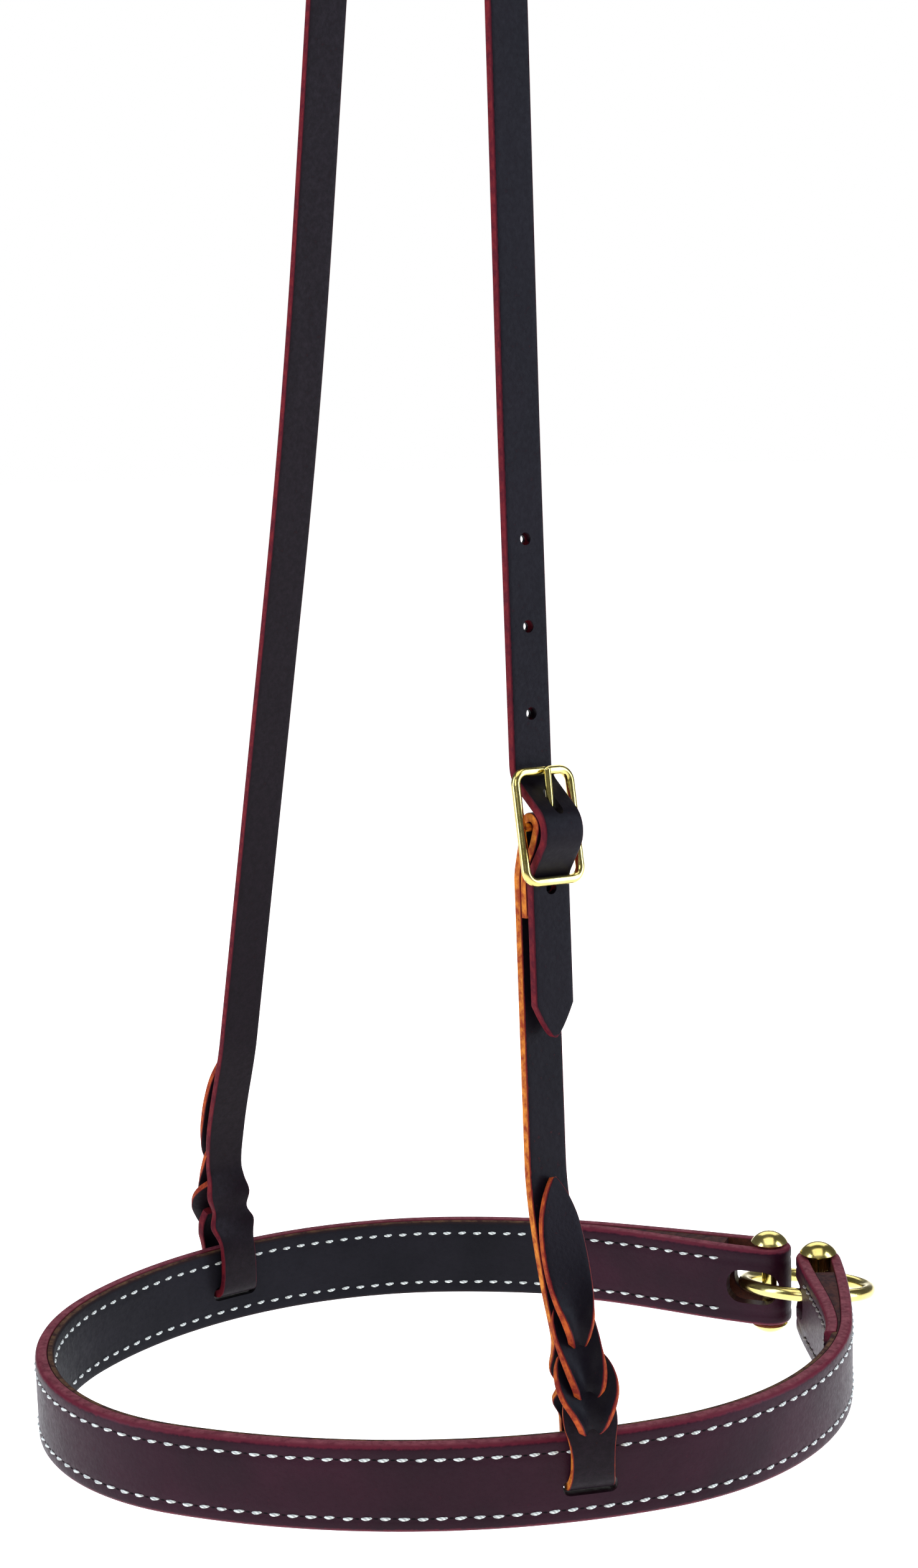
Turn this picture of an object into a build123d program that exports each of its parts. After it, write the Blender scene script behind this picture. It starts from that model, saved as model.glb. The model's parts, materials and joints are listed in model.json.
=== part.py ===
"""Bitless hackamore: a stitched leather noseband loop on a buckled leather hanger.

Frame: the origin is the point under the crown where the strap rests on the horse's poll.
+Z is up, +X runs towards the ring end of the noseband, and -Y is the near side.
Millimetres.
"""
from build123d import *
from math import asin, atan2, cos, degrees, pi, radians, sin, tan
import os

os.makedirs("parts", exist_ok=True)

# Noseband
band_width = 25.4
ply = 3.6
lining = 2.0
glue_gap = 0.05
loop_centre = Vector(-7.1, -2.5)
drop = 496.0

# Outer ply's middle line, anticlockwise from the far pin: radius and turn of each arc
far_arcs = [(1500, 2), (203, 4)]
loop_arcs = [(203, 12), (122, 63), (71.5, 97), (193, 42), (88, 55)]
near_arcs = [(88, 8), (371, 8)]
far_heading = 159.0

# Folds and their pins
fold_inner = 3.45
fold_mid = fold_inner + ply / 2
far_pin_at = Vector(105.3, 55.2)
turnback_gap = 0.6
post_radius = 2.4
neck_radius = 3.35
neck_length = 5.0
knurls = 28
knurl_radius = 0.2
head_radius = 5.8
head_height = 3.8
head_rim = 0.6
head_bevel = 0.5
head_gap = 0.4

# Ring and the slots that it passes through
ring_radius = 19.9
ring_bar = 2.1
ring_at = Vector(117.6, 57.4, 10.2)
ring_tilt = 11.5
ring_roll = 4.5
ring_slot_height = 11.0
ring_slot_run = 12.5
ring_slot_past = 4.5
filler_start = 14.5

# Hanger slots in the noseband, by distance round it from the far pin
near_slot_run = 482.0
far_slot_run = 185.5
slot_level = 10.5
slot_width = 17.5
slot_height = 4.6
slot_rounding = 0.45
lining_low = 0.3
leg_steps = 5

# Hanger straps
strap_width = 12.7
strap = 2.6
poll_radius = 37.85
near_foot = -81.9
far_foot = 100.9
foot_depth = 486.0
foot_swing = 4.6
near_bend = (-53.4, -200.0)
far_bend = (54.1, -200.0)
bend_radius = 1500.0
apex = (0.4, 402.0)
hole_pitch = 23.3
hole_radius = 1.7
tail_length = 57.0
tail_above = 60.0
tail_line = -0.75
tail_point = 9.0
tongue_hole = 6.8
tongue_slot = 9.0
bulge = 8.6
bulge_run = 13.0
bulge_bend = 7.0

# Buckle
bar_radius = 1.25
buckle_width = 20.6
buckle_length = 32.0
buckle_tilt = 8.0
bar_depth = 307.5
frame_corner = 3.4
wrap_clear = 0.15
eye_clear = 0.08
eye_wall = 1.4
tongue_radius = 1.0
strap_line = -6.9
cheek_line = -6.4
turnback_line = -3.6
turnback_end = 24.5
turnback_start = 14.5
back_bend = 16.5
cheek_length = 140.0
slit = (3.2, 9.0)
slit_rise = 0.8
tongue_low = (1.6, 2.4)
tongue_high = (0.4, 15.0)

# Knots
knot_join = 30.0
knot_layers = [(-1.8, 5.6, 16.0, 0.0, 44.0), (3.8, strap, strap_width, 6.0, 64.0)]
leaf_rounding = 0.42
loop_clear = 1.2
loop_head = 4.5
loop_corner = 4.0
thread = 0.4
thread_lift = 0.15
stitch_inset = 4.2

def heading_vector(angle):
    """Unit vector in plan at an angle from +X."""
    return Vector(cos(radians(angle)), sin(radians(angle)))


def outward(angle):
    """Unit vector in plan that points out of the loop, for a path with this heading."""
    return Vector(sin(radians(angle)), -cos(radians(angle)))


def walk(distance):
    """Point and heading on the outer ply's middle line, this far round from the far pin."""
    point = far_start
    heading = far_heading
    for radius, turn in band_arcs:
        turned = min(turn, degrees(distance / radius))
        centre = point - outward(heading) * radius
        heading += turned
        point = centre + outward(heading) * radius
        distance -= radius * radians(turned)
    return point, heading


def draw_arcs(distance, arcs, inset=0.0):
    """Draw tangent arcs that all turn left, a distance round and moved in from the middle."""
    start, heading = walk(distance)
    start = start - outward(heading) * inset
    for radius, turn in arcs:
        arc = JernArc(start, heading_vector(heading), radius - inset, turn)
        start = arc @ 1
        heading += turn
    return start


def leg_inset(share):
    """How far in the middle of a turned-back end lies, from its pin (0) to its end (1)."""
    at_pin = 0.5 + 0.5 * cos(pi * share)
    return (ply + turnback_gap) * (1 - at_pin) + 2 * fold_mid * at_pin


def leg_points(start, run, first=0.0, shift=0.0):
    """Points along a turned-back end, from a share of its run to its end."""
    points = []
    for step in range(leg_steps + 1):
        share = first + (1 - first) * step / leg_steps
        point, heading = walk(start + run * share)
        points.append(point - outward(heading) * (leg_inset(share) + shift))
    return points


def arc_length(arcs):
    """Length of a chain of arcs."""
    return sum(radius * radians(turn) for radius, turn in arcs)


def along(plane, normal_heading, place, level):
    """Plane that stands on the noseband at a place, with X out of the loop and Y up."""
    normal = outward(normal_heading)
    origin = plane.from_local_coords((place.X, place.Y, level))
    return Plane(origin=origin, x_dir=normal, z_dir=normal.cross(Vector(0, 0, 1)))


# Places round the noseband, which lies level
loop_plane = Plane(origin=(loop_centre.X, loop_centre.Y, -drop))
band_arcs = far_arcs + loop_arcs + near_arcs
far_start = far_pin_at + outward(far_heading) * fold_mid
band_run = arc_length(band_arcs)
far_run = arc_length(far_arcs)
near_run = arc_length(near_arcs)
near_end, near_heading = walk(band_run)
near_pin_at = near_end - outward(near_heading) * fold_mid
far_leg = leg_points(0, far_run)
near_leg = leg_points(band_run, -near_run)
near_slot, near_slot_heading = walk(near_slot_run)
far_slot, far_slot_heading = walk(far_slot_run)
near_slot_at = near_slot + outward(near_slot_heading) * ply / 2
far_slot_at = far_slot + outward(far_slot_heading) * ply / 2
near_side = along(loop_plane, near_slot_heading, near_slot_at, slot_level)
far_side = along(loop_plane, far_slot_heading, far_slot_at, slot_level)
near_face = Plane(origin=near_side.origin, x_dir=-near_side.z_dir, z_dir=near_side.x_dir)
far_face = Plane(origin=far_side.origin, x_dir=-far_side.z_dir, z_dir=far_side.x_dir)


# The hanger lies in one plane, which leans a little from upright
slot_line = far_slot_at - near_slot_at
crown_dir = slot_line.normalized()
side_dir = Vector(-crown_dir.Y, crown_dir.X) * -1
foot_offset = side_dir.dot(near_slot_at + loop_centre) - foot_swing
lean = atan2(foot_offset, foot_depth)
up_dir = Vector(0, 0, 1) * cos(lean) - side_dir * sin(lean)
crown_plane = Plane(origin=(0, 0, 0), x_dir=crown_dir, z_dir=crown_dir.cross(up_dir))


def cut_hanger_slots():
    """Cut both hanger slots through the band."""
    for face in (near_face, far_face):
        with BuildSketch(face) as slot:
            RectangleRounded(slot_width, slot_height, slot_height * slot_rounding)
        extrude(slot.sketch, amount=4 * ply, both=True, mode=Mode.SUBTRACT)


def cut_ring_slots():
    """Cut the ring's slot through both legs of each fold."""
    middle = (ring_slot_run - ring_slot_past) / 2
    for pin, heading, back in ((far_pin_at, far_heading, 1), (near_pin_at, near_heading, -1)):
        centre = pin + heading_vector(heading) * middle * back
        side = along(loop_plane, heading, centre, band_width / 2)
        face = Plane(origin=side.origin, x_dir=side.z_dir, z_dir=side.x_dir)
        with BuildSketch(face) as slot:
            RectangleRounded(ring_slot_run + ring_slot_past, ring_slot_height,
                             ring_slot_height * slot_rounding)
        extrude(slot.sketch, amount=3 * ply, both=True, mode=Mode.SUBTRACT)


# Outer ply: round the loop and back on itself at both pins
with BuildPart() as noseband_outer:
    with BuildSketch(loop_plane):
        with BuildLine():
            far_back = heading_vector(far_heading + 180)
            near_back = heading_vector(near_heading + 180)
            Spline(*reversed(far_leg), tangents=(heading_vector(walk(far_run)[1] + 180), far_back))
            JernArc(far_leg[0], far_back, fold_mid, 180)
            draw_arcs(0, band_arcs)
            JernArc(near_end, heading_vector(near_heading), fold_mid, 180)
            near_join = walk(band_run - near_run)
            Spline(*near_leg, tangents=(near_back, heading_vector(near_join[1] + 180)))
        trace(line_width=ply)
    extrude(amount=band_width)
    cut_hanger_slots()
    cut_ring_slots()
noseband_outer.part.label = "noseband_outer"
export_step(noseband_outer.part, "parts/noseband_outer.step")

# Lining between the two turned-back ends
with BuildPart() as noseband_lining:
    with BuildSketch(loop_plane.offset(lining_low)):
        with BuildLine():
            draw_arcs(far_run, loop_arcs, ply / 2 + glue_gap + lining / 2)
        trace(line_width=lining)
    extrude(amount=band_width - 2 * lining_low)
    cut_hanger_slots()
noseband_lining.part.label = "noseband_lining"
export_step(noseband_lining.part, "parts/noseband_lining.step")

# Fillers: wedges between the outer ply and each turned-back end
for name, start, run in (("far_filler", 0, far_run), ("near_filler", band_run, -near_run)):
    first = filler_start / abs(run)
    outer = []
    for step in range(leg_steps + 1):
        point, heading = walk(start + run * (first + (1 - first) * step / leg_steps))
        outer.append(point - outward(heading) * (ply / 2 + glue_gap))
    inner = leg_points(start, run, first, -ply / 2 - glue_gap)
    with BuildPart() as filler:
        with BuildSketch(loop_plane.offset(lining_low)):
            with BuildLine():
                Spline(*outer)
                Line(outer[-1], inner[-1])
                Spline(*reversed(inner))
                Line(inner[0], outer[0])
            make_face()
        extrude(amount=band_width - 2 * lining_low)
    filler.part.label = name
    export_step(filler.part, f"parts/{name}.step")

# Stitching: four rows, each one thread along a face
rows = (("outer", -ply / 2 - thread / 2, 0, band_arcs),
        ("inner", ply / 2 + glue_gap + lining + thread / 2, far_run, loop_arcs))
for side, inset, distance, arcs in rows:
    for row, level in (("lower", stitch_inset), ("upper", band_width - stitch_inset)):
        with BuildPart() as stitches:
            with BuildSketch(loop_plane.offset(level - thread)):
                with BuildLine():
                    draw_arcs(distance, arcs, inset)
                trace(line_width=thread)
            extrude(amount=2 * thread)
        stitches.part.label = f"{side}_{row}_stitches"
        export_step(stitches.part, f"parts/{side}_{row}_stitches.step")

# Stitching through the turned-back ends
for name, start, run in (("far", 0, far_run), ("near", band_run, -near_run)):
    thread_line = leg_points(start, run, filler_start / abs(run), (ply + thread) / 2 + thread_lift)
    for row, level in (("lower", stitch_inset), ("upper", band_width - stitch_inset)):
        with BuildPart() as stitches:
            with BuildSketch(loop_plane.offset(level - thread)):
                with BuildLine():
                    Spline(*thread_line)
                trace(line_width=thread)
            extrude(amount=2 * thread)
        stitches.part.label = f"{name}_fold_{row}_stitches"
        export_step(stitches.part, f"parts/{name}_fold_{row}_stitches.step")

# Pins: a post with a domed, knurled head screwed on at each end
dome_rise = head_height - head_rim
dome_radius = (head_radius ** 2 + dome_rise ** 2) / (2 * dome_rise)
dome_edge = degrees(asin((dome_radius - dome_rise) / dome_radius))
for name, pin in (("far", far_pin_at), ("near", near_pin_at)):
    for end, level, flip in (("top", band_width + head_gap, 1), ("bottom", -head_gap, -1)):
        base = Plane(origin=loop_plane.from_local_coords((pin.X, pin.Y, level)), z_dir=(0, 0, flip))
        upright = Plane(origin=base.origin, x_dir=base.x_dir, z_dir=-base.y_dir)
        with BuildPart() as head:
            with BuildSketch(base.offset(-neck_length)):
                Circle(neck_radius)
                with PolarLocations(neck_radius, knurls):
                    Circle(knurl_radius, mode=Mode.SUBTRACT)
            extrude(amount=neck_length)
            with BuildSketch(upright):
                with BuildLine():
                    dome = CenterArc((0, head_height - dome_radius), dome_radius, dome_edge, 90 - dome_edge)
                    Polyline(dome @ 1, (0, 0), (head_radius - head_bevel, 0), dome @ 0)
                make_face()
            revolve(axis=Axis(base.origin, base.z_dir))
        head.part.label = f"{name}_pin_{end}_head"
        export_step(head.part, f"parts/{name}_pin_{end}_head.step")
    with BuildPart() as post:
        with BuildSketch(loop_plane.offset(neck_length - head_gap)):
            with Locations((pin.X, pin.Y)):
                Circle(post_radius)
        extrude(amount=band_width + 2 * head_gap - 2 * neck_length)
    post.part.label = f"{name}_pin_post"
    export_step(post.part, f"parts/{name}_pin_post.step")

# Ring that ties the two folds together
ring_normal = Vector(tan(radians(ring_roll)), tan(radians(ring_tilt)), 1).normalized()
ring_plane = Plane(origin=loop_plane.from_local_coords(ring_at), x_dir=(ring_normal.Z, 0, -ring_normal.X),
                   z_dir=ring_normal)
with BuildPart() as tie_down_ring:
    with Locations(ring_plane):
        Torus(ring_radius, ring_bar)
tie_down_ring.part.label = "tie_down_ring"
export_step(tie_down_ring.part, "parts/tie_down_ring.step")

# Near strap: X out of the strap, Y up along it, origin on the buckle's centre bar
near_line = (Vector(*near_bend) - Vector(near_foot, -foot_depth)).normalized()
near_out = Vector(-near_line.Y, near_line.X)
bar_place = Vector(near_foot, -foot_depth) + near_line * ((foot_depth - bar_depth) / near_line.Y)
bar_place = bar_place - near_out * strap_line
tail_start = bar_place + near_out * strap_line + near_line * tail_above
far_line = (Vector(*far_bend) - Vector(far_foot, -foot_depth)).normalized()
far_out = Vector(far_line.Y, -far_line.X)
knot_top = Vector(far_foot, -foot_depth) + far_line * knot_join


def strap_frame(foot, direction, out):
    """Plane at a strap's foot, with X out of the strap and Y up along it."""
    across = (crown_plane.from_local_coords(tuple(out)) - crown_plane.origin).normalized()
    upward = (crown_plane.from_local_coords(tuple(direction)) - crown_plane.origin).normalized()
    return Plane(origin=crown_plane.from_local_coords(tuple(foot)), x_dir=across,
                 z_dir=across.cross(upward))


def knot(side, foot):
    """Loop of strap through a noseband slot, and the layers of the bleed knot above it."""
    inner = -(ply + glue_gap + lining + loop_clear + strap / 2)
    outer = loop_clear + strap / 2
    top = band_width - slot_level + loop_head
    with BuildSketch(side) as loop:
        with Locations(((inner + outer) / 2, top / 2)):
            RectangleRounded(outer - inner + strap, top + strap, loop_corner)
            RectangleRounded(outer - inner - strap, top - strap, loop_corner / 2, mode=Mode.SUBTRACT)
    extrude(loop.sketch, amount=strap_width / 2, both=True)
    face = Plane(origin=foot.origin, x_dir=-foot.z_dir, z_dir=foot.x_dir)
    for back, thick, width, low, high in knot_layers:
        with BuildSketch(face.offset(back)) as layer:
            with Locations((0, top + (low + high) / 2)):
                RectangleRounded(width, high - low, width * leaf_rounding)
        extrude(layer.sketch, amount=thick)


near_plane = strap_frame(bar_place, near_line, near_out)
near_foot_plane = strap_frame(Vector(near_foot, -foot_depth), near_line, near_out)
far_foot_plane = strap_frame(Vector(far_foot, -foot_depth), far_line, far_out)
tail_face = Plane(origin=near_plane.origin, x_dir=near_plane.z_dir, z_dir=-near_plane.x_dir)

# Crown strap: far knot, over the poll, down the near side, through the buckle to its tail
with BuildPart() as crown_strap:
    with BuildSketch(crown_plane):
        with BuildLine():
            FilletPolyline((knot_top.X, knot_top.Y), far_bend, apex, near_bend,
                           (tail_start.X, tail_start.Y),
                           radius=(bend_radius, poll_radius + strap / 2, bend_radius))
        trace(line_width=strap)
    extrude(amount=strap_width / 2, both=True)
    with BuildSketch(near_plane):
        with BuildLine():
            FilletPolyline((strap_line, tail_above), (strap_line, bulge_run), (bulge, 0),
                           (tail_line, -bulge_run), (tail_line, -tail_length), radius=bulge_bend)
        trace(line_width=strap)
    extrude(amount=strap_width / 2, both=True)
    with BuildSketch(tail_face):
        with BuildLine():
            Polyline((-strap_width, -tail_length - strap), (strap_width, -tail_length - strap),
                     (strap_width, -tail_length + tail_point), (0, -tail_length),
                     (-strap_width, -tail_length + tail_point), close=True)
        make_face()
    extrude(amount=3 * strap, both=True, mode=Mode.SUBTRACT)
    with BuildSketch(tail_face):
        for count in (-1, 1, 2, 3):
            with Locations((0, tongue_hole + hole_pitch * count)):
                Circle(hole_radius)
        with Locations((0, tongue_hole)):
            SlotOverall(tongue_slot, 2 * hole_radius, rotation=90)
    extrude(amount=7 * strap, both=True, mode=Mode.SUBTRACT)
    knot(far_side, far_foot_plane)
crown_strap.part.label = "crown_strap"
export_step(crown_strap.part, "parts/crown_strap.step")

# Near cheek strap: knot, up behind the buckle, round its bar and down in front of itself
wrap = bar_radius + wrap_clear + strap / 2
with BuildPart() as near_cheek_strap:
    with BuildSketch(near_plane):
        with BuildLine():
            Line((cheek_line, -cheek_length), (cheek_line, -back_bend))
            Bezier((cheek_line, -back_bend), (cheek_line, -back_bend * 0.6), (-wrap, -back_bend * 0.4),
                   (-wrap, 0))
        trace(line_width=strap)
    extrude(amount=strap_width / 2, both=True)
    with BuildSketch(near_plane):
        with BuildLine():
            ThreePointArc((-wrap, 0), (0, wrap), (wrap, 0))
        trace(line_width=strap)
    extrude(amount=strap_width / 2, both=True)
    with BuildSketch(near_plane):
        with BuildLine():
            Bezier((wrap, 0), (wrap, -turnback_start * 0.4), (turnback_line, -turnback_start * 0.6),
                   (turnback_line, -turnback_start))
            Line((turnback_line, -turnback_start), (turnback_line, -turnback_end))
        trace(line_width=strap)
    extrude(amount=strap_width / 2, both=True)
    with BuildSketch(tail_face):
        with Locations((0, slit_rise)):
            Rectangle(*slit)
    extrude(amount=2.5 * strap, both=True, mode=Mode.SUBTRACT)
    knot(near_side, near_foot_plane)
near_cheek_strap.part.label = "near_cheek_strap"
export_step(near_cheek_strap.part, "parts/near_cheek_strap.step")

# Buckle frame: a round-bar rectangle with a centre bar, tipped about that bar
frame_up = near_plane.y_dir.rotate(Axis((0, 0, 0), near_plane.z_dir), buckle_tilt)
frame_plane = Plane(origin=near_plane.origin, x_dir=near_plane.z_dir,
                    z_dir=near_plane.z_dir.cross(frame_up))
with BuildPart() as buckle_frame:
    half_width = buckle_width / 2 - bar_radius
    half_length = buckle_length / 2 - bar_radius
    with BuildLine(frame_plane):
        frame_line = FilletPolyline((half_width, half_length), (-half_width, half_length),
                                    (-half_width, -half_length), (half_width, -half_length),
                                    radius=frame_corner, close=True)
    with BuildSketch(Plane(origin=frame_line @ 0, z_dir=frame_line % 0)):
        Circle(bar_radius)
    sweep()
    with BuildSketch(Plane(origin=frame_plane.origin, z_dir=frame_plane.x_dir)):
        Circle(bar_radius)
    extrude(amount=half_width, both=True)
buckle_frame.part.label = "buckle_frame"
export_step(buckle_frame.part, "parts/buckle_frame.step")

# Buckle tongue: an eye round the centre bar and a rod that rests on the top bar
with BuildPart() as buckle_tongue:
    with BuildSketch(near_plane):
        Circle(bar_radius + eye_clear + eye_wall)
        Circle(bar_radius + eye_clear, mode=Mode.SUBTRACT)
    extrude(amount=tongue_radius, both=True)
    rod_start = near_plane.from_local_coords(tongue_low)
    rod_end = near_plane.from_local_coords(tongue_high)
    rod_plane = Plane(origin=rod_start, z_dir=rod_end - rod_start)
    with BuildSketch(rod_plane):
        Circle(tongue_radius)
    extrude(amount=(rod_end - rod_start).length)
    with Locations(rod_end):
        Sphere(tongue_radius)
buckle_tongue.part.label = "buckle_tongue"
export_step(buckle_tongue.part, "parts/buckle_tongue.step")
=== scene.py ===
"""Looks of the bitless hackamore: leather, stitching, knots and brass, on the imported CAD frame."""

import json
import math
import random

import bmesh
import bpy
from mathutils import Matrix, Vector


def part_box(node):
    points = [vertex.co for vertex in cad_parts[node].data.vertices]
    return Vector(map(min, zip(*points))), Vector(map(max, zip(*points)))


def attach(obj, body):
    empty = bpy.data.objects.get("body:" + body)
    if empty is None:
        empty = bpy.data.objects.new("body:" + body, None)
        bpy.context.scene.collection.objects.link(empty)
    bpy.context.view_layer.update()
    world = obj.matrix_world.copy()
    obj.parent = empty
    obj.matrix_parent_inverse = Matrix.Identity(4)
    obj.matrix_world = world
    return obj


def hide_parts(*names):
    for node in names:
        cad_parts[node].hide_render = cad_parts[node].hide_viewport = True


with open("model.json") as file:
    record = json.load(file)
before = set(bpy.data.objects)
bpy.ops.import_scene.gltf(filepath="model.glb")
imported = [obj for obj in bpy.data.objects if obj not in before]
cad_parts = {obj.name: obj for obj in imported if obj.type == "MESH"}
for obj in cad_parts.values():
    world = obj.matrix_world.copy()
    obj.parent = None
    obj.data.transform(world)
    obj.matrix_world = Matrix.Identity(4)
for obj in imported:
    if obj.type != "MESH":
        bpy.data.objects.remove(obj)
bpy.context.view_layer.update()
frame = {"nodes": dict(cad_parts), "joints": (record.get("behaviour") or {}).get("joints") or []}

MM = 0.001
random_source = random.Random(11)
UP = Vector((0, 0, 1))

# Noseband, in millimetres
PLY = 3.6
LINING = 2.0
GLUE_GAP = 0.05
FAR_ARCS = [(1500, 2), (203, 4)]
LOOP_ARCS = [(203, 12), (122, 63), (71.5, 97), (193, 42), (88, 55)]
NEAR_ARCS = [(88, 8), (371, 8)]
FAR_HEADING = 159.0
FOLD_INNER = 3.45
FOLD_MID = FOLD_INNER + PLY / 2
TURNBACK_GAP = 0.6
FILLER_START = 14.5
RING_SLOT = (17.0, 11.0)
RING_SLOT_MIDDLE = 4.0
HANGER_SLOT = (15.4, 4.6)
NEAR_SLOT_RUN = 482.0
FAR_SLOT_RUN = 185.5
SLOT_LEVEL = 10.5
SLOT_ROUNDING = 0.45
LINING_NARROWER = 0.6
FILLER_NARROWER = 0.8
FILLER_THINNEST = 0.4
SAMPLE = 2.5
LEG_STEP = 0.04
FOLD_STEP = 12

# Stitching
PITCH = 5.08
STITCH_INSET = 4.2
STITCH_LENGTH = 3.5
STITCH_RADIUS = 0.47
INNER_STITCH_LENGTH = 3.1
OUTER_SINK = 0.2
INNER_SINK = 0.15
ROW_MARGIN = 2
LEG_MARGIN = 2.5

# Straps
STRAP = 2.6
STRAP_WIDTH = 12.7
POLL_RADIUS = 37.85
NEAR_FOOT = -81.9
FAR_FOOT = 100.9
FOOT_DEPTH = 486.0
NEAR_BEND = (-53.4, -200.0)
FAR_BEND = (54.1, -200.0)
APEX = (0.4, 402.0)
BEND_RADIUS = 1500.0
STRAP_LINE = -6.9
CHEEK_LINE = -6.4
CHEEK_OUT = CHEEK_LINE - STRAP_LINE
HOLE_PITCH = 23.3
HOLE_RADIUS = 1.7
HOLE_NECK = 1.0
HOLE_MOUTH = 1.7
TONGUE_HOLE = 6.6
TONGUE_SLOT = 6.2
TONGUE_SLOT_RADIUS = 1.35
TAIL_LENGTH = 57.0
TAIL_ABOVE = 60.0
TAIL_POINT = 9.0
TAIL_LINE = -0.75
TURNBACK_LINE = -3.6
TURNBACK_END = 24.5
BULGE = 8.6
BULGE_RUN = 13.0
BULGE_BEND = 7.0
BAR_RADIUS = 1.25
WRAP_CLEAR = 0.15
WRAP = BAR_RADIUS + WRAP_CLEAR + STRAP / 2
SLIT = (3.2, 9.0, 13.0)
SLIT_CORNER = 1.4
SLIT_RISE = 0.8
ROUND_END = 0.999
HOLE_LONGER = 0.01
CROWN_STEP = 3.0
TAIL_STEP = 1.0
BACK_BEND = 18

# Knots turn from the noseband's direction at the slot to the hanger's direction above it
KNOT_LOW = 8.0
KNOT_HIGH = 88.0
KNOT_TOP = 92.0
KNOT_STEP = 3.0
LEAF_THICK = 2.1
KNOT_PARTS = 5

# Points round each corner of a strap's cross-section
CORNER_STEPS = 4


# ---------------------------------------------------------------- curves and places

def joint(name):
    """A joint's place in millimetres and its axis."""
    found = next(j for j in frame["joints"] if j["name"] == name)
    return Vector(found["pos_m"]) / MM, Vector(found["axis"]).normalized()


def centre(node):
    """The middle of a CAD node's box, in millimetres."""
    low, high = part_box(node)
    return (low + high) / 2 / MM


def heading_vector(angle):
    """Unit vector in plan at an angle from +X."""
    return Vector((math.cos(math.radians(angle)), math.sin(math.radians(angle)), 0))


def outward(angle):
    """Out of the loop, for a path with this heading."""
    return Vector((math.sin(math.radians(angle)), -math.cos(math.radians(angle)), 0))


def walk(distance):
    """Point and heading on the outer ply's middle line, this far round from the far pin."""
    point = FAR_START
    heading = FAR_HEADING
    for radius, turn in BAND_ARCS:
        turned = min(turn, math.degrees(distance / radius))
        middle = point - outward(heading) * radius
        heading += turned
        point = middle + outward(heading) * radius
        distance -= radius * math.radians(turned)
    return point, heading


def arc_length(arcs):
    """Length of a chain of arcs."""
    return sum(radius * math.radians(turn) for radius, turn in arcs)


def leg_inset(share):
    """How far in a turned-back end's middle lies, from its pin (0) to its end (1)."""
    at_pin = 0.5 + 0.5 * math.cos(math.pi * share)
    return (PLY + TURNBACK_GAP) * (1 - at_pin) + 2 * FOLD_MID * at_pin


def leg_point(start, run, share, shift=0.0):
    """Point on a turned-back end, by its share of the run from the pin."""
    point, heading = walk(start + run * share)
    return point - outward(heading) * (leg_inset(share) + shift)


def spread(first, last, step):
    """Evenly spaced values from first to last, about this far apart."""
    count = max(1, round(abs(last - first) / step))
    return [first + (last - first) * i / count for i in range(count + 1)]


def fillet(corners, radii, step):
    """Points along a polyline whose corners are each rounded to their radius."""
    corners = [Vector(c) for c in corners]
    points = [corners[0]]
    for before, corner, after, radius in zip(corners, corners[1:], corners[2:], radii):
        into = (corner - before).normalized()
        out = (after - corner).normalized()
        turn = into.angle(out)
        reach = radius * math.tan(turn / 2)
        start = corner - into * reach
        inward = (out - into * into.dot(out)).normalized()
        middle = start + inward * radius
        for angle in spread(0, turn, step / radius):
            points.append(middle + into * radius * math.sin(angle) - inward * radius * math.cos(angle))
    points.append(corners[-1])
    return points


def resample(points, step):
    """The same polyline with points no further apart than step."""
    result = [points[0]]
    for a, b in zip(points, points[1:]):
        count = max(1, math.ceil((b - a).length / step))
        result += [a + (b - a) * i / count for i in range(1, count + 1)]
    return result


def smooth(rows, parts):
    """Rows of numbers with Catmull-Rom rows put between them."""
    result = []
    for i in range(len(rows) - 1):
        p0 = rows[max(i - 1, 0)]
        p1, p2 = rows[i], rows[i + 1]
        p3 = rows[min(i + 2, len(rows) - 1)]
        for k in range(parts):
            t = k / parts
            result.append([0.5 * (2 * b + (c - a) * t + (2 * a - 5 * b + 4 * c - d) * t * t
                                  + (3 * b - a - 3 * c + d) * t ** 3)
                           for a, b, c, d in zip(p0, p1, p2, p3)])
    result.append(list(rows[-1]))
    return result


NEAR_PIN = centre("near_pin_top_head")
FAR_PIN = centre("far_pin_top_head")
BAND_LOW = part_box("noseband_outer")[0].z / MM
BAND_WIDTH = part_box("noseband_outer")[1].z / MM - BAND_LOW
BAND_LEVEL = BAND_LOW + BAND_WIDTH / 2
BAND_ARCS = FAR_ARCS + LOOP_ARCS + NEAR_ARCS
FAR_START = Vector((FAR_PIN.x, FAR_PIN.y, 0)) + outward(FAR_HEADING) * FOLD_MID
BAND_RUN = arc_length(BAND_ARCS)
FAR_RUN = arc_length(FAR_ARCS)
NEAR_RUN = arc_length(NEAR_ARCS)
CROWN_DIR = joint("noseband_pitch")[1]
BAR_POINT, STRAP_AXIS = joint("buckle_swing")
CROWN_UP = CROWN_DIR.cross(STRAP_AXIS)


# ---------------------------------------------------------------- strap meshes

class Station:
    """One cross-section of a strap: where it is, which way it faces, and how wide it is."""

    def __init__(self, point, across, normal, width, thick=STRAP, cup=0.0):
        self.point = point
        self.across = across
        self.normal = normal
        self.width = width
        self.thick = thick
        self.cup = cup


def corner_arc(corner):
    """Points round a corner, from the face to the edge: offset, lift, and how much each is edge."""
    arc = []
    for k in range(CORNER_STEPS + 1):
        angle = math.radians(90 * k / CORNER_STEPS)
        arc.append((-corner + corner * math.sin(angle), -corner + corner * math.cos(angle),
                    k / CORNER_STEPS))
    return arc


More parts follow.
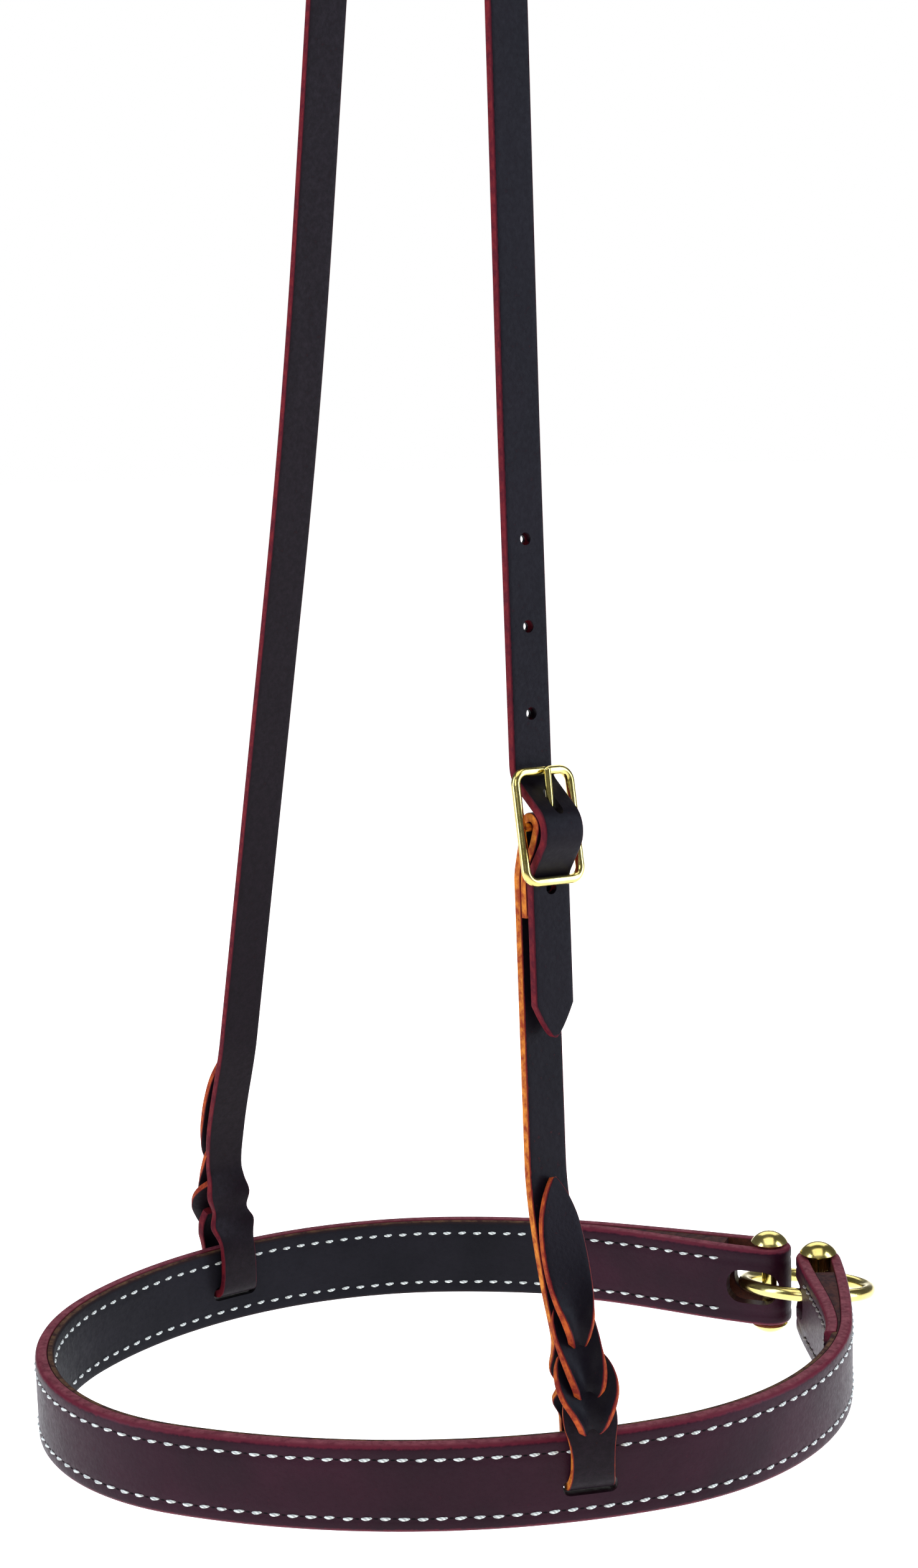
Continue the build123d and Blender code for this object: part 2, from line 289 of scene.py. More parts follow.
def section(front, back, faces, grooves=()):
    """Outline of a strap's cross-section with rounded front and back corners.
    Each entry is the share of half the width, an offset, the face, a lift, and how much it is edge."""
    rows = [(share, 0.0, 1, 0.0, 0.0) for share in faces]
    for inset, half, depth in grooves:
        for side in (-1, 1):
            for place, lift in ((-half, 0), (0, -depth), (half, 0)):
                rows.append((side, -side * inset + place, 1, lift, 0.0))
    rows.sort(key=lambda r: r[0] * 100 + r[1])
    front_arc, back_arc = corner_arc(front), corner_arc(back)
    rows += [(1, a, 1, n, e) for a, n, e in front_arc]
    rows += [(1, a, -1, -n, e) for a, n, e in reversed(back_arc)]
    rows += [(share, 0.0, -1, 0.0, 0.0) for share in reversed(faces)]
    rows += [(-1, -a, -1, -n, e) for a, n, e in back_arc]
    rows += [(-1, -a, 1, n, e) for a, n, e in reversed(front_arc)]
    return rows


STRAP_SECTION = section(0.55, 0.4, (-0.75, -0.5, -0.25, 0, 0.25, 0.5, 0.75))
BAND_SECTION = section(1.5, 0.5, (-0.45, -0.25, 0, 0.25, 0.45), grooves=[(STITCH_INSET, 1.0, 0.22)])
LINING_SECTION = section(1.1, 0.3, (-0.45, -0.25, 0, 0.25, 0.45), grooves=[(STITCH_INSET, 1.0, 0.15)])


def strap_mesh(name, stations, outline, material):
    """A closed strap through its stations, with how far each point is edge and underside."""
    vertices, edge, under = [], [], []
    for station in stations:
        half = station.width / 2
        for share, offset, face, lift, is_edge in outline:
            narrow = min(1.0, half / 2.0)
            a = share * half + offset * narrow
            n = face * station.thick / 2 + lift * narrow
            lean = math.atan(2 * station.cup * share / max(half, 0.1))
            bow = station.cup * share ** 2
            out = station.across * math.cos(lean) + station.normal * math.sin(lean)
            up = station.normal * math.cos(lean) - station.across * math.sin(lean)
            middle = station.across * share * half + station.normal * bow
            vertices.append((station.point + middle + out * (a - share * half) + up * n) * MM)
            edge.append(is_edge)
            under.append(1.0 if face < 0 else 0.0)
    size = len(outline)
    faces = []
    for i in range(len(stations) - 1):
        for k in range(size):
            a, b = i * size + k, i * size + (k + 1) % size
            faces.append((a, b, b + size, a + size))
    for ring in (0, len(stations) - 1):
        start = len(vertices)
        vertices += vertices[ring * size:(ring + 1) * size]
        edge += [1.0] * size
        under += [0.0] * size
        cap = list(range(start, start + size))
        faces.append(tuple(reversed(cap)) if ring == 0 else tuple(cap))
    mesh = bpy.data.meshes.new(name)
    mesh.from_pydata(vertices, [], faces)
    for key, values in (("edge", edge), ("under", under)):
        mesh.attributes.new(key, "FLOAT", "POINT").data.foreach_set("value", values)
    return finish_mesh(name, mesh, material)


def finish_mesh(name, mesh, *materials):
    """Make an object of a mesh: welded, outward, smooth up to sharp angles, and with its materials."""
    work = bmesh.new()
    work.from_mesh(mesh)
    bmesh.ops.remove_doubles(work, verts=work.verts, dist=1e-7)
    bmesh.ops.recalc_face_normals(work, faces=work.faces)
    for face in work.faces:
        face.smooth = True
    for border in work.edges:
        if len(border.link_faces) == 2 and border.calc_face_angle(0) > math.radians(50):
            border.smooth = False
    work.to_mesh(mesh)
    work.free()
    for material in materials:
        mesh.materials.append(material)
    made = bpy.data.objects.new(name, mesh)
    bpy.context.scene.collection.objects.link(made)
    return made


def bored(target, cutters):
    """Cut the cutters out of a mesh and keep the result."""
    for cutter in cutters:
        cutting = target.modifiers.new("cut", "BOOLEAN")
        cutting.operation = "DIFFERENCE"
        cutting.object = cutter
        cutting.solver = "EXACT"
    graph = bpy.context.evaluated_depsgraph_get()
    result = bpy.data.meshes.new_from_object(target.evaluated_get(graph))
    target.modifiers.clear()
    old = target.data
    target.data = result
    bpy.data.meshes.remove(old)
    for cutter in cutters:
        bpy.data.objects.remove(cutter)


def rounded_box(origin, along, up, through, size, corner):
    """A cutter with rounded ends: size is its length, height and depth."""
    outline = []
    for cx, cy, start in ((1, 1, 0), (-1, 1, 90), (-1, -1, 180), (1, -1, 270)):
        for k in range(7):
            angle = math.radians(start + 15 * k)
            outline.append((cx * (size[0] / 2 - corner) + corner * math.cos(angle),
                            cy * (size[1] / 2 - corner) + corner * math.sin(angle)))
    vertices = [(origin + along * x + up * y + through * z) * MM
                for z in (-size[2] / 2, size[2] / 2) for x, y in outline]
    count = len(outline)
    faces = [(i, (i + 1) % count, count + (i + 1) % count, count + i) for i in range(count)]
    faces += [tuple(reversed(range(count))), tuple(range(count, 2 * count))]
    mesh = bpy.data.meshes.new("cutter")
    mesh.from_pydata(vertices, [], faces)
    work = bmesh.new()
    work.from_mesh(mesh)
    bmesh.ops.recalc_face_normals(work, faces=work.faces)
    work.to_mesh(mesh)
    work.free()
    made = bpy.data.objects.new("cutter", mesh)
    bpy.context.scene.collection.objects.link(made)
    return made


# ---------------------------------------------------------------- materials

def rgb(red, green, blue):
    """A display colour, 0 to 255, as a linear one."""
    linear = [((c / 255 + 0.055) / 1.055) ** 2.4 if c > 10 else c / 255 / 12.92
              for c in (red, green, blue)]
    return (*linear, 1.0)


class Nodes:
    """Short hand for building a material's nodes."""

    def __init__(self, name):
        self.material = bpy.data.materials.new(name)
        self.material.use_nodes = True
        self.tree = self.material.node_tree
        self.shader = self.tree.nodes["Principled BSDF"]
        self.place = self.add("ShaderNodeTexCoord").outputs["Object"]

    def add(self, kind, **settings):
        node = self.tree.nodes.new(kind)
        for key, value in settings.items():
            setattr(node, key, value)
        return node

    def put(self, value, socket):
        if isinstance(value, bpy.types.NodeSocket):
            self.tree.links.new(value, socket)
        else:
            socket.default_value = value

    def noise(self, size, detail=3.0, rough=0.6):
        """Noise whose lumps are about this many millimetres across."""
        node = self.add("ShaderNodeTexNoise")
        self.put(self.place, node.inputs["Vector"])
        node.inputs["Scale"].default_value = 1 / (size * MM)
        node.inputs["Detail"].default_value = detail
        node.inputs["Roughness"].default_value = rough
        return node.outputs["Fac"]

    def cells(self, size, feature="F1"):
        node = self.add("ShaderNodeTexVoronoi", feature=feature)
        self.put(self.place, node.inputs["Vector"])
        node.inputs["Scale"].default_value = 1 / (size * MM)
        return node.outputs["Distance"]

    def value(self, name):
        return self.add("ShaderNodeAttribute", attribute_name=name).outputs["Fac"]

    def math(self, operation, a, b):
        node = self.add("ShaderNodeMath", operation=operation, use_clamp=False)
        self.put(a, node.inputs[0])
        self.put(b, node.inputs[1])
        return node.outputs[0]

    def ramp(self, fac, low, high, out_low=0.0, out_high=1.0):
        node = self.add("ShaderNodeMapRange", clamp=True)
        self.put(fac, node.inputs["Value"])
        for socket, number in (("From Min", low), ("From Max", high), ("To Min", out_low),
                               ("To Max", out_high)):
            node.inputs[socket].default_value = number
        return node.outputs["Result"]

    def mix(self, fac, a, b):
        node = self.add("ShaderNodeMix", data_type="RGBA", blend_type="MIX")
        self.put(fac, node.inputs["Factor"])
        self.put(a, node.inputs["A"])
        self.put(b, node.inputs["B"])
        return node.outputs["Result"]

    def bump(self, height, strength, distance, before=None):
        node = self.add("ShaderNodeBump")
        node.inputs["Strength"].default_value = strength
        node.inputs["Distance"].default_value = distance * MM
        self.put(height, node.inputs["Height"])
        if before is not None:
            self.put(before, node.inputs["Normal"])
        return node.outputs["Normal"]


# How much edge a point is where its dyed rim turns to the raw colour
RAW_FROM = 0.35


def leather(name, face, patch, rim, raw, gloss, specular, under=None):
    """Dyed leather: a grained face that darkens to a rim and turns to the raw colour on its cut edge."""
    n = Nodes(name)
    broad = n.noise(24, 2.0, 0.5)
    fine = n.noise(1.6, 4.0, 0.7)
    speck = n.noise(0.45, 2.0, 0.6)
    pores = n.cells(0.9)
    wrinkle = n.cells(1.1, "SMOOTH_F1")
    colour = n.mix(n.ramp(broad, 0.35, 0.68), rgb(*face), rgb(*patch))
    colour = n.mix(n.ramp(fine, 0.5, 0.72, 0.0, 0.35), colour, rgb(*patch))
    colour = n.mix(n.ramp(pores, 0.05, 0.22, 0.45, 0.0), colour, rgb(8, 5, 7))
    if under is not None:
        fuzz = n.mix(n.ramp(fine, 0.35, 0.7), rgb(*under), rgb(*[c * 0.6 for c in under]))
        colour = n.mix(n.value("under"), colour, fuzz)
    edge = n.math("ADD", n.value("edge"), n.ramp(fine, 0.3, 0.7, -0.12, 0.12))
    colour = n.mix(n.ramp(edge, 0.08, RAW_FROM), colour, rgb(*rim))
    streak = n.mix(n.ramp(n.noise(3.2, 4.0, 0.7), 0.38, 0.62), rgb(*raw[0]), rgb(*raw[1]))
    colour = n.mix(n.ramp(edge, RAW_FROM + 0.12, RAW_FROM + 0.45), colour, streak)
    n.put(colour, n.shader.inputs["Base Color"])
    dull = n.ramp(fine, 0.3, 0.7, gloss - 0.07, gloss + 0.1)
    dull = n.math("ADD", dull, n.ramp(edge, 0.3, 0.9, 0.0, 0.22))
    n.put(dull, n.shader.inputs["Roughness"])
    n.shader.inputs["Specular IOR Level"].default_value = specular
    height = n.math("ADD", n.math("MULTIPLY", wrinkle, 0.6), n.math("MULTIPLY", speck, 0.35))
    height = n.math("ADD", height, n.ramp(pores, 0.0, 0.2, -0.35, 0.0))
    low = n.bump(broad, 0.25, 1.2)
    n.put(n.bump(height, 0.35, 0.22, low), n.shader.inputs["Normal"])
    return n.material


def brass():
    """Polished cast brass: almost smooth, with faint wear and a little tarnish."""
    n = Nodes("polished_brass")
    broad = n.noise(7, 3.0, 0.6)
    fine = n.noise(0.8, 4.0, 0.7)
    colour = n.mix(n.ramp(broad, 0.35, 0.7), rgb(222, 206, 132), rgb(204, 186, 104))
    colour = n.mix(n.ramp(fine, 0.66, 0.84, 0.0, 0.3), colour, rgb(140, 122, 60))
    n.put(colour, n.shader.inputs["Base Color"])
    n.shader.inputs["Metallic"].default_value = 1.0
    n.put(n.ramp(n.noise(2.5, 4.0, 0.7), 0.3, 0.75, 0.14, 0.24), n.shader.inputs["Roughness"])
    low = n.bump(broad, 0.12, 0.2)
    n.put(n.bump(fine, 0.04, 0.05, low), n.shader.inputs["Normal"])
    return n.material


def thread(name, light, dark):
    """Waxed twisted thread."""
    n = Nodes(name)
    fibre = n.noise(0.35, 3.0, 0.7)
    twist = n.add("ShaderNodeTexWave", wave_type="BANDS", bands_direction="DIAGONAL")
    n.put(n.place, twist.inputs["Vector"])
    twist.inputs["Scale"].default_value = 1 / (2.2 * MM)
    twist.inputs["Distortion"].default_value = 1.5
    lines = n.math("ADD", n.math("MULTIPLY", twist.outputs["Fac"], 0.6), n.math("MULTIPLY", fibre, 0.5))
    colour = n.mix(n.ramp(lines, 0.15, 0.75), rgb(*dark), rgb(*light))
    n.put(colour, n.shader.inputs["Base Color"])
    n.put(n.ramp(fibre, 0.3, 0.7, 0.5, 0.75), n.shader.inputs["Roughness"])
    n.put(n.bump(lines, 0.5, 0.15), n.shader.inputs["Normal"])
    return n.material


def hole_shade_paint():
    """A flat dark oval of painted shade, standing for the shadowed mouth of an awl hole."""
    n = Nodes("awl_hole_painted_shade")
    n.put(n.mix(n.ramp(n.noise(0.5), 0.4, 0.6), rgb(8, 5, 8), rgb(20, 10, 15)), n.shader.inputs["Base Color"])
    n.shader.inputs["Roughness"].default_value = 0.8
    n.shader.inputs["Specular IOR Level"].default_value = 0.1
    return n.material


burgundy = leather("burgundy_harness_leather", (45, 12, 28), (33, 8, 21), (90, 24, 40),
                   ((122, 58, 68), (92, 34, 46)), under=(86, 46, 34), gloss=0.42, specular=0.12)
lining_leather = leather("lining_leather", (26, 24, 30), (19, 18, 23), (34, 24, 26),
                         ((92, 66, 46), (50, 30, 30)), gloss=0.55, specular=0.08)
filler_leather = leather("filler_leather", (30, 20, 24), (20, 14, 18), (38, 20, 22),
                         ((70, 36, 30), (40, 20, 24)), gloss=0.6, specular=0.2)
strap_leather = leather("latigo_strap_leather", (17, 12, 19), (11, 8, 14), (90, 18, 24),
                        ((176, 80, 32), (118, 36, 26)), under=(26, 16, 23), gloss=0.42, specular=0.08)
pale_strap_leather = leather("latigo_pale_edge_leather", (17, 12, 19), (11, 8, 14), (104, 26, 26),
                             ((204, 122, 44), (140, 54, 26)), under=(26, 16, 23), gloss=0.42, specular=0.08)
dark_strap_leather = leather("latigo_dark_edge_leather", (17, 12, 19), (11, 8, 14), (70, 16, 28),
                             ((106, 26, 32), (76, 16, 28)), under=(24, 15, 21), gloss=0.42, specular=0.08)
brass_metal = brass()
white_thread = thread("waxed_white_thread", (222, 226, 220), (150, 152, 148))
# A darker copy of the white thread for the near fold's inner leg, which faces into the loop: painted shade.
thread_in_painted_shade = thread("waxed_thread_painted_shade", (120, 112, 104), (62, 52, 52))
# Flat dark ovals at the awl holes: painted shade for the holes' mouths.
hole_painted_shade = hole_shade_paint()


# ---------------------------------------------------------------- noseband

def flat_path(points):
    """Stations of a strap that stands on edge along plan points, facing right of its travel."""
    stations = []
    for i, point in enumerate(points):
        ahead = points[min(i + 1, len(points) - 1)] - points[max(i - 1, 0)]
        ahead.normalize()
        stations.append((Vector((point.x, point.y, BAND_LEVEL)), Vector((ahead.y, -ahead.x, 0))))
    return stations


def fold_points(pin, heading):
    """Plan points round the half turn of a fold, from its leg or to it."""
    return [pin + outward(heading - 180 + angle) * FOLD_MID for angle in spread(0, 180, FOLD_STEP)]


def noseband_path():
    """Plan points of the outer ply, from the far turned-back end to the near one."""
    far = [leg_point(0, FAR_RUN, 1 - share) for share in spread(0, 1, LEG_STEP)]
    around_far = fold_points(Vector((FAR_PIN.x, FAR_PIN.y, 0)), FAR_HEADING)
    band = [walk(d)[0] for d in spread(0, BAND_RUN, SAMPLE)]
    near_heading = walk(BAND_RUN)[1]
    around_near = fold_points(Vector((NEAR_PIN.x, NEAR_PIN.y, 0)), near_heading + 180)
    near = [leg_point(BAND_RUN, -NEAR_RUN, share) for share in spread(0, 1, LEG_STEP)]
    points = far[:-1] + around_far[:-1] + band[:-1] + around_near[:-1] + near
    return [p for p, q in zip(points, points[1:] + [points[0]]) if (p - q).length > 0.05]


def hanger_slot_cutters():
    """Cutters for the slots that the two hanger straps pass through."""
    cutters = []
    for run in (NEAR_SLOT_RUN, FAR_SLOT_RUN):
        point, heading = walk(run)
        origin = Vector((point.x, point.y, BAND_LOW + SLOT_LEVEL))
        cutters.append(rounded_box(origin, heading_vector(heading), UP, outward(heading),
                                   (HANGER_SLOT[0], HANGER_SLOT[1], 8 * PLY), HANGER_SLOT[1] * SLOT_ROUNDING))
    return cutters


def ring_slot_cutters():
    """Cutters for the slots in the folds that the ring passes through."""
    cutters = []
    near_heading = walk(BAND_RUN)[1]
    for pin, heading, back in ((FAR_PIN, FAR_HEADING, 1), (NEAR_PIN, near_heading, -1)):
        origin = Vector((pin.x, pin.y, BAND_LEVEL)) + heading_vector(heading) * RING_SLOT_MIDDLE * back
        cutters.append(rounded_box(origin, heading_vector(heading), UP, outward(heading),
                                   (*RING_SLOT, 6 * PLY), RING_SLOT[1] * SLOT_ROUNDING))
    return cutters


def own(piece, body, slot, *nodes):
    """Ride a piece on its body and hide the CAD nodes that it stands for; its slot name is not used."""
    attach(piece, body)
    if nodes:
        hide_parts(*nodes)


outer_stations = [Station(p, UP, n, BAND_WIDTH, PLY) for p, n in flat_path(noseband_path())]
outer = strap_mesh("noseband_outer_ply", outer_stations, BAND_SECTION, burgundy)
bored(outer, hanger_slot_cutters() + ring_slot_cutters())
own(outer, "noseband", "burgundy_leather", "noseband_outer")

lining_inset = PLY / 2 + GLUE_GAP + LINING / 2
lining_points = []
for d in spread(FAR_RUN, BAND_RUN - NEAR_RUN, SAMPLE):
    point, heading = walk(d)
    lining_points.append(point - outward(heading) * lining_inset)
lining_stations = [Station(p, UP, -n, BAND_WIDTH - LINING_NARROWER, LINING)
                   for p, n in flat_path(lining_points)]
lining = strap_mesh("noseband_inner_lining", lining_stations, LINING_SECTION, lining_leather)
bored(lining, hanger_slot_cutters())
own(lining, "noseband", "lining_leather", "noseband_lining")

for name, start, run in (("far", 0, FAR_RUN), ("near", BAND_RUN, -NEAR_RUN)):
    stations = []
    for share in spread(FILLER_START / abs(run), 1, LEG_STEP):
        point, heading = walk(start + run * share)
        thick = max(FILLER_THINNEST, leg_inset(share) - PLY - 2 * GLUE_GAP)
        middle = point - outward(heading) * (PLY / 2 + GLUE_GAP + thick / 2)
        stations.append(Station(Vector((middle.x, middle.y, BAND_LEVEL)), UP, outward(heading),
                                BAND_WIDTH - FILLER_NARROWER, thick))
    filler = strap_mesh(f"{name}_fold_filler", stations, section(0.3, 0.3, (-0.5, 0, 0.5)), filler_leather)
    own(filler, "noseband", "lining_leather", f"{name}_filler")


# ---------------------------------------------------------------- stitches

def add_stitch(vertices, faces, marks, middle, ahead, normal, length, radius, slant):
    """One thread stitch that dives into the leather at both ends, and beyond it a flat dark oval of painted
    shade for the awl hole.
    """
    side = normal.cross(ahead)
    forward = (ahead * math.cos(slant) + side * math.sin(slant)).normalized()
    side = normal.cross(forward)
    rings, around = 7, 8
    start = len(vertices)
    for i in range(rings):
        t = -1 + 2 * i / (rings - 1)
        swell = radius * max(0.16, (1 - t * t) ** 0.45)
        rise = 0.30 - 0.55 * t * t
        for k in range(around):
            angle = 2 * math.pi * k / around
            twist = 1 + 0.1 * math.cos(2 * angle - 5 * t)
            vertices.append((middle + forward * (t * length / 2) + side * swell * twist * math.cos(angle)
                             + normal * (rise + swell * twist * math.sin(angle) * 0.8)) * MM)
    for i in range(rings - 1):
        for k in range(around):
            a, b = start + i * around + k, start + i * around + (k + 1) % around
            faces.append((a, b, b + around, a + around))
            marks.append(0)
    faces.append(tuple(range(start, start + around)))
    faces.append(tuple(range(start + (rings - 1) * around, start + rings * around)))
    marks += [0, 0]
    # The awl hole is a shallow oval lying on the surface, drawn in the painted-shade material.
    hole = middle + ahead * PITCH / 2
    start = len(vertices)
    for ring, lift in ((1.0, -0.12), (0.75, 0.035), (0.3, 0.045)):
        for k in range(around):
            angle = 2 * math.pi * k / around
            vertices.append((hole + ahead * ring * 0.78 * math.cos(angle)
                             + side * ring * 0.36 * math.sin(angle) + normal * lift) * MM)
    for ring in range(2):
        for k in range(around):
            a = start + ring * around + k
            b = start + ring * around + (k + 1) % around
            faces.append((a, b, b + around, a + around))
            marks.append(1)
    faces.append(tuple(range(start + 2 * around, start + 3 * around)))
    faces.append(tuple(reversed(range(start, start + around))))
    marks += [1, 1]


def stitch_row(name, node, places, level, material, length=STITCH_LENGTH):
    """A row of stitches at plan places, each with its direction and the way its face looks."""
    vertices, faces, marks = [], [], []
    for point, ahead, normal in places:
        wobble = random_source.uniform(-1, 1)
        middle = Vector((point.x, point.y, BAND_LOW + level + 0.12 * wobble))
        slant = math.radians(4 + 3 * random_source.uniform(-1, 1))
        add_stitch(vertices, faces, marks, middle, ahead, normal,
                   length * (1 + 0.06 * random_source.uniform(-1, 1)), STITCH_RADIUS, slant)
    mesh = bpy.data.meshes.new(name)
    mesh.from_pydata(vertices, [], faces)
    mesh.polygons.foreach_set("material_index", marks)
    # The second material paints shade into the awl holes.
    own(finish_mesh(name, mesh, material, hole_painted_shade), "noseband", "thread", node)


def band_places(first, last, inset, face):
    """Stitch places along the band, on its outer face (1) or its inner one (-1)."""
    places = []
    for d in spread(first + PITCH / 2, last - PITCH / 2, PITCH):
        point, heading = walk(d)
        places.append((point - outward(heading) * inset, heading_vector(heading), outward(heading) * face))
    return places


def leg_places(start, run):
    """Stitch places on the inside of a turned-back end."""
    places = []
    first = (FILLER_START + LEG_MARGIN) / abs(run)
    for share in spread(first, 1 - LEG_MARGIN / abs(run), PITCH / abs(run)):
        here = leg_point(start, run, share, PLY / 2)
        ahead = (leg_point(start, run, share + 0.01, PLY / 2) - here).normalized()
        heading = walk(start + run * share)[1]
        normal = Vector((-ahead.y, ahead.x, 0))
        if normal.dot(outward(heading)) > 0:
            normal.negate()
        places.append((here, ahead, normal))
    return places


inner_inset = PLY / 2 + GLUE_GAP + LINING
for row, level in (("lower", STITCH_INSET), ("upper", BAND_WIDTH - STITCH_INSET)):
    stitch_row(f"outer_{row}_row", f"outer_{row}_stitches",
               band_places(ROW_MARGIN, BAND_RUN - ROW_MARGIN, -PLY / 2 + OUTER_SINK, 1),
               level, white_thread)
    stitch_row(f"inner_{row}_row", f"inner_{row}_stitches",
               band_places(FAR_RUN, BAND_RUN - NEAR_RUN, inner_inset - INNER_SINK, -1), level,
               white_thread, length=INNER_STITCH_LENGTH)
    stitch_row(f"far_fold_{row}_row", f"far_fold_{row}_stitches", leg_places(0, FAR_RUN), level,
               white_thread, length=INNER_STITCH_LENGTH)
    # The near fold's rows take the darker thread copy: painted shade.
    stitch_row(f"near_fold_{row}_row", f"near_fold_{row}_stitches", leg_places(BAND_RUN, -NEAR_RUN), level,
               thread_in_painted_shade)


# ---------------------------------------------------------------- hanger straps

def crown_point(q, h):
    """Point in the hanger's plane: q from the near side to the far side, h up."""
    return CROWN_DIR * q + CROWN_UP * h


class Side:
    """A strap's own frame: out of the strap, up along it, from its foot at the noseband."""

    def __init__(self, foot, bend, sign, slot_run):
        line = (Vector((*bend, 0)) - Vector((foot, -FOOT_DEPTH, 0))).normalized()
        out = Vector((line.y, -line.x, 0)) * sign
        self.foot = crown_point(foot, -FOOT_DEPTH)
        self.up = CROWN_DIR * line.x + CROWN_UP * line.y
        self.out = CROWN_DIR * out.x + CROWN_UP * out.y
        point, heading = walk(slot_run)
        self.slot_out = outward(heading)
        self.slot = Vector((point.x, point.y, BAND_LOW + SLOT_LEVEL)) + self.slot_out * PLY / 2
        along = heading_vector(heading)
        self.slot_along = along if along.dot(STRAP_AXIS) > 0 else -along

    def at(self, out, up):
        return self.foot + self.out * out + self.up * up

    def knot_at(self, out, up):
        """Point and across direction, blended from the slot's frame to the strap's."""
        share = min(1.0, max(0.0, (up - KNOT_LOW) / (KNOT_HIGH - KNOT_LOW)))
        share = share * share * (3 - 2 * share)
        low = self.slot + self.slot_out * out + UP * up
        across = self.slot_along.lerp(STRAP_AXIS, share).normalized()
        return low.lerp(self.at(out, up), share), across


NEAR = Side(NEAR_FOOT, NEAR_BEND, -1, NEAR_SLOT_RUN)
FAR = Side(FAR_FOOT, FAR_BEND, 1, FAR_SLOT_RUN)


def strap_stations(points, flip, widths=None):
    """Stations along 3-D points in the hanger's plane, turned over where flip is -1."""
    stations = []
    for i, point in enumerate(points):
        ahead = points[min(i + 1, len(points) - 1)] - points[max(i - 1, 0)]
        ahead.normalize()
        width = STRAP_WIDTH if widths is None else widths[i]
        stations.append(Station(point, STRAP_AXIS, ahead.cross(STRAP_AXIS) * flip, width))
    return stations


def knot_stations(side, rows, flip, thick):
    """Stations through rows of out, up, width and cup."""
    places = [side.knot_at(out, up) for out, up, _, _ in rows]
    stations = []
    for i, (point, across) in enumerate(places):
        ahead = places[min(i + 1, len(places) - 1)][0] - places[max(i - 1, 0)][0]
        normal = ahead.cross(across).normalized() * flip
        square = (across - ahead * across.dot(ahead) / ahead.length_squared).normalized()
        stations.append(Station(point, square, normal, rows[i][2], thick, rows[i][3]))
    return stations


def near_bar(out, up):
    """Point near the buckle: out and up from its centre bar."""
    return BAR_POINT + NEAR.out * out + NEAR.up * up


def knot(side, name):
    """Bleed knot: three leaves that pull through each other, and the stations of the strap's loop
    through the noseband, from its front end to the knot's top."""
    loop = smooth([
        (CHEEK_OUT, KNOT_TOP, STRAP_WIDTH, 0), (CHEEK_OUT, 80, STRAP_WIDTH, 0),
        (CHEEK_OUT, 66, STRAP_WIDTH, 0), (0.3, 54, STRAP_WIDTH, 0), (-0.4, 43, 12.0, 0),
        (-2.0, 38, 12.6, -0.4),
        (-3.6, 33, 14.6, -0.9), (-4.6, 28, 11.8, 0), (-5.9, 23.5, 15.0, -0.9), (-8.4, 18.5, 11.8, 0),
        (-9.3, 13.5, 11.6, 0), (-9.1, 6.5, 11.8, 0), (-8.0, 2.0, 12.6, 0), (-5.4, 0.3, 13.2, 0),
        (-1.6, 0.2, 13.2, 0), (0.9, 1.9, 12.8, 0), (2.4, 5.5, 12.0, 0), (3.1, 11.0, 12.0, 0),
        (3.2, 15.5, 13.2, 0.3), (3.2, 19.0, 14.6, 0.8), (2.6, 23.5, 14.4, 1.0),
        (1.4, 27.0, 12.0, 0.6)], KNOT_PARTS)
    leaves = [
        ("low_leaf", [(-0.6, 37.0, 11.5, 0.2), (1.0, 34.5, 15.4, 0.8), (2.8, 31.0, 17.2, 1.6),
                      (4.0, 27.0, 15.8, 2.6), (4.4, 23.0, 11.2, 3.4), (4.0, 19.6, 7.4, 2.6),
                      (2.4, 17.0, 5.0, 1.2)]),
        ("middle_leaf", [(0.2, 50.0, 10.0, 0.1), (1.0, 46.5, 12.4, 0.2), (2.0, 42.0, 12.8, 0.5),
                         (3.2, 37.5, 12.0, 1.4), (4.0, 33.0, 10.4, 2.6), (4.0, 29.5, 8.0, 2.8),
                         (2.6, 26.5, 5.4, 1.4)]),
        ("top_leaf", [(3.4, 83.8, 0.9, 0), (3.7, 81.6, 4.6, 0), (4.0, 78.0, 8.6, 0),
                      (4.2, 72.5, 12.2, 0), (4.4, 65.0, 13.6, 0), (4.6, 58.0, 13.2, 0.2),
                      (4.9, 52.0, 11.6, 0.9), (4.9, 47.0, 8.8, 1.8), (3.9, 43.0, 6.0, 1.6),
                      (2.0, 39.5, 4.2, 0.8)]),
    ]
    for leaf, rows in leaves:
        stations = knot_stations(side, smooth(rows, KNOT_PARTS), KNOT_FACE[name], LEAF_THICK)
        piece = strap_mesh(f"{name}_knot_{leaf}", stations, STRAP_SECTION, strap_leather)
        own(piece, "hanger", "strap_leather")
    return list(reversed(knot_stations(side, loop, KNOT_FACE[name], STRAP)))


def facing(points, out):
    """1 or -1, so that a strap's finished face looks the way it should."""
    ahead = points[1] - points[0]
    return 1 if ahead.cross(STRAP_AXIS).dot(out) > 0 else -1


KNOT_FACE = {"near": facing([NEAR.at(0, 1), NEAR.at(0, 0)], NEAR.out),
             "far": facing([FAR.at(0, 1), FAR.at(0, 0)], FAR.out)}

near_loop = knot(NEAR, "near")
far_loop = knot(FAR, "far")

